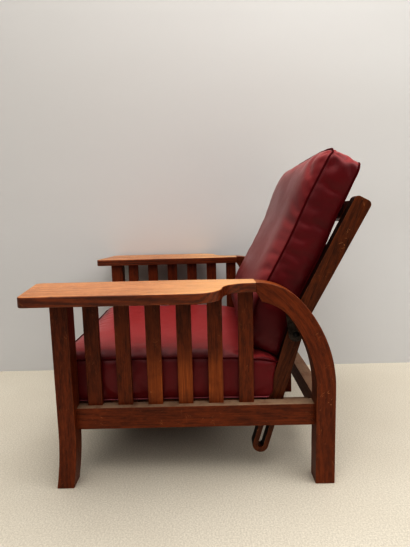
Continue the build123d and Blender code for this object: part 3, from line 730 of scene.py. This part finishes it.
def round_corner(x, y, half_x, half_y, radius):
    """Turns the square corners of a lattice into quarter circles."""
    over_x, over_y = abs(x) - (half_x - radius), abs(y) - (half_y - radius)
    if over_x <= 0 or over_y <= 0:
        return x, y
    shrink = max(over_x, over_y) / math.hypot(over_x, over_y)
    x = math.copysign(half_x - radius + over_x * shrink, x)
    y = math.copysign(half_y - radius + over_y * shrink, y)
    return x, y


class Cushion:
    """A boxed cushion: two panels and a boxing band between two welted seams."""

    def __init__(self, name, half_width, length, cell, layers, shape):
        self.name = name
        columns = 2 * round(half_width / cell)
        rows = round(length / cell)
        self.counts = (columns, rows, layers)
        self.shape = shape
        self.spots, self.quads = box_net(self.counts)

    def shares(self, spot):
        columns, rows, layers = self.counts
        return 2 * spot[0] / columns - 1, spot[1] / rows, spot[2] / layers

    def seam(self, layer):
        """Lattice points round one seam, in order."""
        columns, rows, _ = self.counts
        ring = [(i, 0, layer) for i in range(columns)]
        ring += [(columns, j, layer) for j in range(rows)]
        ring += [(i, rows, layer) for i in range(columns, 0, -1)]
        ring += [(0, j, layer) for j in range(rows, 0, -1)]
        return [self.spots.index(spot) for spot in ring]

    def build(self):
        mesh = bpy.data.meshes.new(self.name)
        points = [self.shape(*self.shares(spot)) for spot in self.spots]
        mesh.from_pydata(points, [], self.quads)
        shell = bmesh.new()
        shell.from_mesh(mesh)
        bmesh.ops.recalc_face_normals(shell, faces=shell.faces)
        shell.to_mesh(mesh)
        shell.free()
        mesh.polygons.foreach_set("use_smooth", [True] * len(mesh.polygons))
        return new_object(self.name, mesh)


def fill_with_pressure(piece, held, limits):
    """Blows the cover up like cloth over its filling, held along its seams."""
    rest = [point.co.copy() for point in piece.data.vertices]
    pins = piece.vertex_groups.new(name="sewn")
    for index, weight in held.items():
        pins.add([index], weight, "REPLACE")
    cloth = piece.modifiers.new("Filling", "CLOTH")
    cloth.settings.quality = 6
    cloth.settings.mass = 0.35
    cloth.settings.tension_stiffness = 22
    cloth.settings.compression_stiffness = 22
    cloth.settings.shear_stiffness = 8
    cloth.settings.bending_stiffness = 1.2
    cloth.settings.tension_damping = 12
    cloth.settings.use_pressure = True
    cloth.settings.uniform_pressure_force = FILLING_PRESSURE
    cloth.settings.shrink_min = COVER_SLACK
    cloth.settings.vertex_group_mass = "sewn"
    cloth.settings.effector_weights.gravity = 0
    cloth.point_cache.frame_start = 1
    cloth.point_cache.frame_end = SETTLING_FRAMES
    for step in range(1, SETTLING_FRAMES + 1):
        bpy.context.scene.frame_set(step)
    settled = piece.evaluated_get(bpy.context.evaluated_depsgraph_get()).to_mesh()
    moved = [point.co.copy() for point in settled.vertices]
    piece.modifiers.remove(cloth)
    piece.vertex_groups.clear()
    bpy.context.scene.frame_set(1)
    for index, (start, end) in enumerate(zip(rest, moved)):
        shift = end - start
        most = MOST_SWELL * limits(index)
        size = shift.length
        if size > 1e-9 and most > 0:
            shift *= most * math.tanh(size / most) / size
        elif most <= 0:
            shift = Vector()
        piece.data.vertices[index].co = start + shift
    piece.data.update()


def subdivide(piece):
    """Halves the cover's cells once, rounding them."""
    smooth = piece.modifiers.new("Smooth", "SUBSURF")
    smooth.levels = 1
    graph = bpy.context.evaluated_depsgraph_get()
    mesh = bpy.data.meshes.new_from_object(piece.evaluated_get(graph))
    piece.modifiers.remove(smooth)
    piece.data = mesh
    mesh.polygons.foreach_set("use_smooth", [True] * len(mesh.polygons))


def sew_welt(name, points, outward, radius):
    """A covered cord round a seam: a closed tube along the seam's own points."""
    sides = 8
    count = len(points)
    mesh = bmesh.new()
    rings = []
    for index, point in enumerate(points):
        way = (points[(index + 1) % count] - points[index - 1]).normalized()
        out = outward[index] - way * outward[index].dot(way)
        out.normalize()
        up = way.cross(out)
        ring = []
        for turn in range(sides):
            angle = 2 * math.pi * turn / sides
            ring.append(
                mesh.verts.new(point + (out * math.cos(angle) + up * math.sin(angle)) * radius)
            )
        rings.append(ring)
    for index, ring in enumerate(rings):
        onward = rings[(index + 1) % count]
        for turn in range(sides):
            follow = (turn + 1) % sides
            mesh.faces.new((ring[turn], onward[turn], onward[follow], ring[follow]))
    bmesh.ops.recalc_face_normals(mesh, faces=mesh.faces)
    data = bpy.data.meshes.new(name)
    mesh.to_mesh(data)
    mesh.free()
    data.polygons.foreach_set("use_smooth", [True] * len(data.polygons))
    return new_object(name, data)


def flowing_loop(points, steps):
    """The closed curve that runs smoothly through the points, in steps between each two."""
    count = len(points)
    loop = []
    for index in range(count):
        a, b, c, d = (points[(index + shift) % count] for shift in (-1, 0, 1, 2))
        for step in range(steps):
            t = step / steps
            bend = (a * -1 + b * 3 - c * 3 + d) * t**3 + (a * 2 - b * 5 + c * 4 - d) * t**2
            loop.append((bend + (c - a) * t + b * 2) / 2)
    return loop


def gather(piece, corners):
    """Small tucks that run out from the sewn corners."""
    piece.data.update()
    for point in piece.data.vertices:
        for number, corner in enumerate(corners):
            offset = point.co - corner
            if offset.length > TUCK_REACH:
                continue
            outward = corner - Vector((0, corner.y, corner.z))
            outward = (outward.normalized() + point.normal).normalized()
            side = outward.cross(Vector((0, 0, 1))).normalized()
            lift = side.cross(outward)
            turn = math.atan2(offset.dot(lift), offset.dot(side))
            fall = (1 - offset.length / TUCK_REACH) ** TUCK_FADING
            fall *= smooth_step(0.0, TUCK_START, offset.length)
            point.co += point.normal * TUCK_DEPTH * math.cos(turn * TUCK_FOLDS + number) * fall


# Back cushion, in the plane of the stiles' upper limbs
BACK_FOOT = -0.119
BACK_TOP = 0.410
BACK_HALF_WIDTH = 0.275
BACK_BOX = 0.092
BACK_CROWN = 0.012
BACK_CORNER = 0.024
BACK_DRAW = 0.006
BACK_TOP_SWELL = 0.014
BACK_TOP_CROWN = 0.011
BACK_BELLY = 0.014
BACK_REAR_TUCK = 0.003
BACK_TUCK_DEPTH = 0.36
BACK_REST_GAP = 0.0003
BACK_SIT = [
    (0, 0.021),
    (0.1, 0.012),
    (0.24, 0),
    (0.5, -0.001),
    (0.8, -0.013),
    (0.94, -0.016),
    (1, -0.019),
]
BACK_DEPTH = [
    (0, 0.88),
    (0.1, 1.0),
    (0.24, 1.0),
    (0.5, 0.98),
    (0.8, 0.92),
    (0.94, 0.885),
    (1, 0.83),
]
BACK_LOW_BULGE = [(0, 0.3), (0.05, 1), (0.10, 1), (0.21, 0), (1, 0)]
BACK_TOP_BULGE = [(0, 0), (0.62, 0), (0.93, 1), (0.97, 0.8), (1, 0)]
BACK_TUCKED = [(0, 0), (0.05, 0), (0.3, 1), (0.86, 1), (1, 0.5)]

# Powers of its swells, from side to side but for the last
BACK_TOP_SWELL_POWER = 3
BACK_TOP_CROWN_POWER = 16
BACK_BELLY_POWER = 4
BACK_CROWN_POWER = 10
BACK_CROWN_RISE_POWER = 12


def back_cushion_shape(across, along, depth):
    """Where a point of the back cushion lies, by its shares of width, height and depth."""
    middle = (BACK_TOP + BACK_FOOT) / 2
    half = (BACK_TOP - BACK_FOOT) / 2
    upward = 2 * along - 1
    x, rise = round_corner(
        across * BACK_HALF_WIDTH, upward * half, BACK_HALF_WIDTH, half, BACK_CORNER
    )
    x *= 1 - BACK_DRAW * swell(upward, 2) / BACK_HALF_WIDTH
    rise += BACK_TOP_SWELL * swell(abs(across), BACK_TOP_SWELL_POWER) * along**4
    rear = STILE_HALF + BACK_REST_GAP - between(BACK_SIT, along)
    box = BACK_BOX * between(BACK_DEPTH, along)
    crown = BACK_CROWN * swell(across, BACK_CROWN_POWER) * swell(upward, BACK_CROWN_RISE_POWER)
    crown += BACK_TOP_CROWN * swell(across, BACK_TOP_CROWN_POWER) * between(BACK_TOP_BULGE, along)
    crown += BACK_BELLY * swell(across, BACK_BELLY_POWER) * between(BACK_LOW_BULGE, along)
    near_rear = max(1 - depth / BACK_TUCK_DEPTH, 0) ** 2
    tuck = BACK_REAR_TUCK * near_rear * between(BACK_TUCKED, along)
    x *= 1 - tuck / BACK_HALF_WIDTH
    out = rear + depth * box + (crown if depth == 1 else 0)
    y = KNEE.y + (middle + rise) * math.sin(UPPER_TILT) - out * math.cos(UPPER_TILT)
    z = KNEE.z + (middle + rise) * math.cos(UPPER_TILT) + out * math.sin(UPPER_TILT)
    return Vector((x, y, z))


# Seat cushion, flat on its deck
SEAT_FRONT = REAR_LEG_Y - 0.699
SEAT_REAR = REAR_LEG_Y - 0.138
SEAT_BOTTOM = 0.2008
SEAT_HALF_WIDTH = 0.2985
SEAT_BOX = 0.111
SEAT_CROWN = 0.017
SEAT_CORNER = 0.012
SEAT_DRAW = 0.003
SEAT_EDGE_POWER = 34
SEAT_RIM_POWER = 30
SEAT_SEAM_LIFT = 0.005
SEAT_LIFT_DEPTH = 0.3
SEAT_REAR_TUCK = 0.010
SEAT_TUCK_DEPTH = 0.22
SEAT_REAR_LEAN = 0.009
SEAT_REAR_SPAN = (0.9, 1.0)
SEAT_REAR_FALL = 0.6
SEAT_FALL_SPAN = (0.66, 0.92)
SEAT_HEIGHT = [(0, 0.99), (0.08, 1.0), (0.5, 1.0), (0.80, 0.975), (0.93, 0.94), (1, 0.87)]


def seat_cushion_shape(across, along, depth):
    """Where a point of the seat cushion lies, by its shares of width, length and height."""
    middle = (SEAT_FRONT + SEAT_REAR) / 2
    half = (SEAT_REAR - SEAT_FRONT) / 2
    backward = 2 * along - 1
    x, y = round_corner(
        across * SEAT_HALF_WIDTH, backward * half, SEAT_HALF_WIDTH, half, SEAT_CORNER
    )
    x *= 1 - SEAT_DRAW * swell(backward, 2) / SEAT_HALF_WIDTH
    y *= 1 - SEAT_DRAW * swell(across, 2) / half
    top = SEAT_BOX * between(SEAT_HEIGHT, along)
    crown = SEAT_CROWN * swell(across, SEAT_EDGE_POWER) * swell(backward, SEAT_EDGE_POWER)
    crown *= 1 - SEAT_REAR_FALL * smooth_step(*SEAT_FALL_SPAN, along)
    rear = smooth_step(*SEAT_REAR_SPAN, along)
    rim = max(abs(across), abs(backward)) ** SEAT_RIM_POWER
    lift = SEAT_SEAM_LIFT * rim * max(1 - depth / SEAT_LIFT_DEPTH, 0)
    y -= SEAT_REAR_TUCK * max(1 - depth / SEAT_TUCK_DEPTH, 0) ** 2 * rear
    y += SEAT_REAR_LEAN * depth**2 * rear
    z = SEAT_BOTTOM + lift + depth * top + (crown if depth == 1 else 0)
    return Vector((x, middle + y, z))


WELT_RADIUS = 0.0024
WELT_PROUD = 0.0012
HIGHLIT_WELT_RADIUS = 0.0018
HIGHLIT_WELT_PROUD = 0.0014
SOUND_WELT = (WELT_RADIUS, WELT_PROUD, WELTING)
HIGHLIT_WELT = (HIGHLIT_WELT_RADIUS, HIGHLIT_WELT_PROUD, HIGHLIT_WELTING)


def make_cushion(
    name, body, shape, half_width, length, layers, push, leather, welts, dent=None
):
    cushion = Cushion(name, half_width, length, COVER_CELL, layers, shape)
    piece = cushion.build()
    stem = name[: -len("_cover")]
    seams = [cushion.seam(0), cushion.seam(layers)]
    held = {index: 1.0 for seam in seams for index in seam}
    depths = [cushion.shares(spot)[2] for spot in cushion.spots]

    fill_with_pressure(piece, held, lambda index: push(depths[index]))
    subdivide(piece)
    columns, rows, _ = cushion.counts
    turns = (0, columns, columns + rows, 2 * columns + rows)
    corners = [piece.data.vertices[seams[1][turn]].co.copy() for turn in turns]
    gather(piece, corners)
    if dent:
        dent(piece)
    piece.data.update()
    seam_points = [[piece.data.vertices[i].co.copy() for i in seam] for seam in seams]
    seam_ways = [[piece.data.vertices[i].normal.copy() for i in seam] for seam in seams]
    piece.data.materials.clear()
    piece.data.materials.append(leather)
    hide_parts(stem)
    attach(piece, body)
    for label, points, ways, cord in zip(("under", "upper"), seam_points, seam_ways, welts):
        radius, proud, cord_leather = cord
        outward = flowing_loop(ways, 3)
        loop = [point + way * proud for point, way in zip(flowing_loop(points, 3), outward)]
        welt = sew_welt(f"{stem}_{label}_welt", loop, outward, radius)
        welt.data.materials.append(cord_leather)
        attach(welt, body)
    return piece


# How far each part of a cover may swell, as a share of MOST_SWELL
BACK_REAR_PUSH = 0.1
BACK_FRONT_PUSH = 0.4
BACK_BAND_PUSH = 0.3
BACK_BAND_GAIN = 0.45
BACK_BAND_SPAN = (0.0, 0.6)
SEAT_BOTTOM_PUSH = 0.0
SEAT_TOP_PUSH = 0.25
SEAT_BAND_PUSH = 0.5


def back_push(depth):
    """The rear panel rests on the rails; the rest of the cover swells."""
    if depth == 0:
        return BACK_REAR_PUSH
    if depth == 1:
        return BACK_FRONT_PUSH
    return BACK_BAND_PUSH + BACK_BAND_GAIN * smooth_step(*BACK_BAND_SPAN, depth)


def seat_push(depth):
    """The bottom lies on its deck; the band swells more than the top."""
    return {0: SEAT_BOTTOM_PUSH, 1: SEAT_TOP_PUSH}.get(depth, SEAT_BAND_PUSH)


SLAT_FACE_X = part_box("arm_slat_4_left")[0].x
SLAT_CLEARANCE = 0.0006
SIDE_GIVE = 0.003
STILE_CLEARANCE = 0.0015

# Where a stile's hollow starts and is full: before its inner face, and past its outer one
HOLLOW_INNER = (0.012, 0.002)
HOLLOW_OUTER = (0.006, 0.001)


def press_in(piece):
    """The slats hold the seat cushion's sides in, and the stiles press hollows into its rear."""
    side = SLAT_FACE_X - SLAT_CLEARANCE - SIDE_GIVE
    for point in piece.data.vertices:
        over = abs(point.co.x) - side
        if over > 0:
            pressed = side + SIDE_GIVE * math.tanh(over / SIDE_GIVE)
            point.co.x = math.copysign(pressed, point.co.x)
        height = KNEE.z - point.co.z
        front = KNEE.y - height * math.tan(LOWER_TILT) - STILE_CLEARANCE
        front -= STILE_HALF / math.cos(LOWER_TILT)
        x = abs(point.co.x)
        start, full = HOLLOW_INNER
        inside = smooth_step(STILE_INNER_X - start, STILE_INNER_X - full, x)
        start, full = HOLLOW_OUTER
        inside *= 1 - smooth_step(STILE_OUTER_X + full, STILE_OUTER_X + start, x)
        over = point.co.y - front
        if over > 0:
            point.co.y -= over * inside


# ---------------------------------------------------------------- stage


ROOM_HALF = 9.0
WALL_HALF_HEIGHT = 2.6
WALL_GAP = 0.012
FLOOR_DROP = 0.0005
FLOOR_TUFT_DARK = (0.47, 0.435, 0.37, 1)
FLOOR_TUFT_LIGHT = (0.64, 0.60, 0.515, 1)
FLOOR_TRODDEN = (0.48, 0.435, 0.36, 1)
WALL_DARK = (0.545, 0.54, 0.535, 1)
WALL_LIGHT = (0.59, 0.59, 0.59, 1)


def stage_sheet(name, segments, half):
    mesh = bmesh.new()
    bmesh.ops.create_grid(mesh, x_segments=segments, y_segments=segments, size=half)
    data = bpy.data.meshes.new(name)
    mesh.to_mesh(data)
    mesh.free()
    return new_object(name, data)


def make_floor():
    floor = stage_sheet("studio_floor", 8, ROOM_HALF)
    floor.location.z = -FLOOR_DROP
    finish, tree, surface = start_finish("pale_floor")
    place = piece_place(tree)
    tufts = speckle(tree, place, 260.0, 3.0, 0.7)
    patches = speckle(tree, place, 5.0, 3.0)
    colour = blend_colours(
        tree, fade(tree, tufts, 0.3, 0.7), FLOOR_TUFT_DARK, FLOOR_TUFT_LIGHT
    )
    trodden = fade(tree, patches, 0.3, 0.7, 0.0, 0.2)
    colour = blend_colours(tree, trodden, colour, FLOOR_TRODDEN)
    tree.links.new(colour, surface.inputs["Base Color"])
    surface.inputs["Roughness"].default_value = 0.95
    surface.inputs["Specular IOR Level"].default_value = 0.1
    floor.data.materials.append(finish)


def make_wall():
    """A plain wall close behind the chair, clear when it is looked at from behind."""
    wall = stage_sheet("studio_wall", 6, 1.0)
    wall.rotation_euler = (math.radians(90), 0, math.radians(90))
    wall.scale = (ROOM_HALF, WALL_HALF_HEIGHT, 1.0)
    wall.location = (cad_low.x - WALL_GAP, 0.0, WALL_HALF_HEIGHT - 2 * FLOOR_DROP)
    finish, tree, surface = start_finish("pale_wall")
    place = piece_place(tree)
    clouds = speckle(tree, place, 2.2, 3.0)
    colour = blend_colours(tree, fade(tree, clouds, 0.3, 0.7), WALL_DARK, WALL_LIGHT)
    tree.links.new(colour, surface.inputs["Base Color"])
    surface.inputs["Roughness"].default_value = 0.9
    surface.inputs["Specular IOR Level"].default_value = 0.15
    clear = put(tree, "ShaderNodeBsdfTransparent")
    behind = put(tree, "ShaderNodeNewGeometry").outputs["Backfacing"]
    mixed = {0: behind, 1: surface.outputs[0], 2: clear.outputs[0]}
    both = put(tree, "ShaderNodeMixShader", mixed)
    tree.links.new(both.outputs[0], tree.nodes["Material Output"].inputs["Surface"])
    wall.data.materials.append(finish)


LAMP_WHITE = (1.0, 0.985, 0.965)
LAMP_WARM = (1.0, 0.97, 0.93)
LAMP_WARMER = (1.0, 0.95, 0.90)

# Each lamp's name, place, target, size, power and colour
LAMPS = [
    ("ceiling_softbox", (0.75, 0.2, 2.8), (0.1, 0.05, 0.2), (2.0, 2.6), 36, LAMP_WARM),
    ("camera_side_fill", (2.6, -1.2, 1.5), (0, 0, 0.35), (1.2, 1.2), 5, LAMP_WARMER),
    ("rear_window", (0.9, 2.7, 2.0), (0, 0, 0.4), (1.8, 1.8), 22, LAMP_WHITE),
]
DIFFUSER_SPREAD = math.radians(115)
DIFFUSER_POWER = 2.1
DIFFUSER_TURN = (math.radians(-6), math.radians(14), 0)

# The room's own light, and its colour where the camera sees past the stage
ROOM_COLOUR = (0.80, 0.79, 0.785, 1)
ROOM_LIGHT = 0.07
ROOM_BACKDROP = (0.66, 0.645, 0.63, 1)


def make_lamp(name, place, target, size, power, colour):
    data = bpy.data.lights.new(name, "AREA")
    data.shape = "RECTANGLE"
    data.size, data.size_y = size
    data.energy = power
    data.color = colour
    lamp = bpy.data.objects.new(name, data)
    bpy.context.scene.collection.objects.link(lamp)
    lamp.location = place
    lamp.rotation_mode = "QUATERNION"
    lamp.rotation_quaternion = (Vector(target) - Vector(place)).to_track_quat("-Z", "Y")


def make_light():
    diffuser = bpy.data.lights.new("overhead_diffuser", "SUN")
    diffuser.angle = DIFFUSER_SPREAD
    diffuser.energy = DIFFUSER_POWER
    diffuser.color = LAMP_WHITE
    overhead = bpy.data.objects.new("overhead_diffuser", diffuser)
    overhead.rotation_euler = DIFFUSER_TURN
    bpy.context.scene.collection.objects.link(overhead)
    for lamp in LAMPS:
        make_lamp(*lamp)
    world = bpy.data.worlds.new("pale_room")
    bpy.context.scene.world = world
    world.use_nodes = True
    tree = world.node_tree
    dim = tree.nodes["Background"]
    dim.inputs["Color"].default_value = ROOM_COLOUR
    dim.inputs["Strength"].default_value = ROOM_LIGHT
    pale = put(tree, "ShaderNodeBackground", {"Color": ROOM_BACKDROP, "Strength": 1.0})
    seen = put(tree, "ShaderNodeLightPath").outputs["Is Camera Ray"]
    both = put(tree, "ShaderNodeMixShader", {0: seen, 1: dim.outputs[0], 2: pale.outputs[0]})
    tree.links.new(both.outputs[0], tree.nodes["World Output"].inputs["Surface"])
    bpy.context.scene.view_settings.view_transform = "Standard"
    bpy.context.scene.view_settings.look = "High Contrast"


def make_camera():
    data = bpy.data.cameras.new("photo_camera")
    camera = bpy.data.objects.new("photo_camera", data)
    bpy.context.scene.collection.objects.link(camera)
    forward = Vector(
        (
            -math.cos(EYE_PITCH) * math.cos(EYE_YAW),
            -math.cos(EYE_PITCH) * math.sin(EYE_YAW),
            math.sin(EYE_PITCH),
        )
    )
    level = forward.cross(Vector((0, 0, 1))).normalized()
    upright = level.cross(forward)
    right = level * math.cos(EYE_ROLL) + upright * math.sin(EYE_ROLL)
    up = upright * math.cos(EYE_ROLL) - level * math.sin(EYE_ROLL)
    turn = Matrix((right, up, -forward)).transposed()
    camera.matrix_world = Matrix.Translation(EYE) @ turn.to_4x4()
    data.sensor_width = FILM_LONG_SIDE
    data.lens = FOCAL_PIXELS / PICTURE_HEIGHT * FILM_LONG_SIDE
    bpy.context.scene.camera = camera


# ---------------------------------------------------------------- the chair

finish_nodes()
make_cushion(
    "back_cushion_cover",
    "back",
    back_cushion_shape,
    half_width=BACK_HALF_WIDTH,
    length=BACK_TOP - BACK_FOOT,
    layers=9,
    push=back_push,
    leather=BACK_LEATHER,
    welts=(SOUND_WELT, SOUND_WELT),
)
make_cushion(
    "seat_cushion_cover",
    "seat",
    seat_cushion_shape,
    half_width=SEAT_HALF_WIDTH,
    length=SEAT_REAR - SEAT_FRONT,
    layers=11,
    push=seat_push,
    leather=SEAT_LEATHER,
    welts=(HIGHLIT_WELT, SOUND_WELT),
    dent=press_in,
)
make_floor()
make_wall()
make_light()
make_camera()
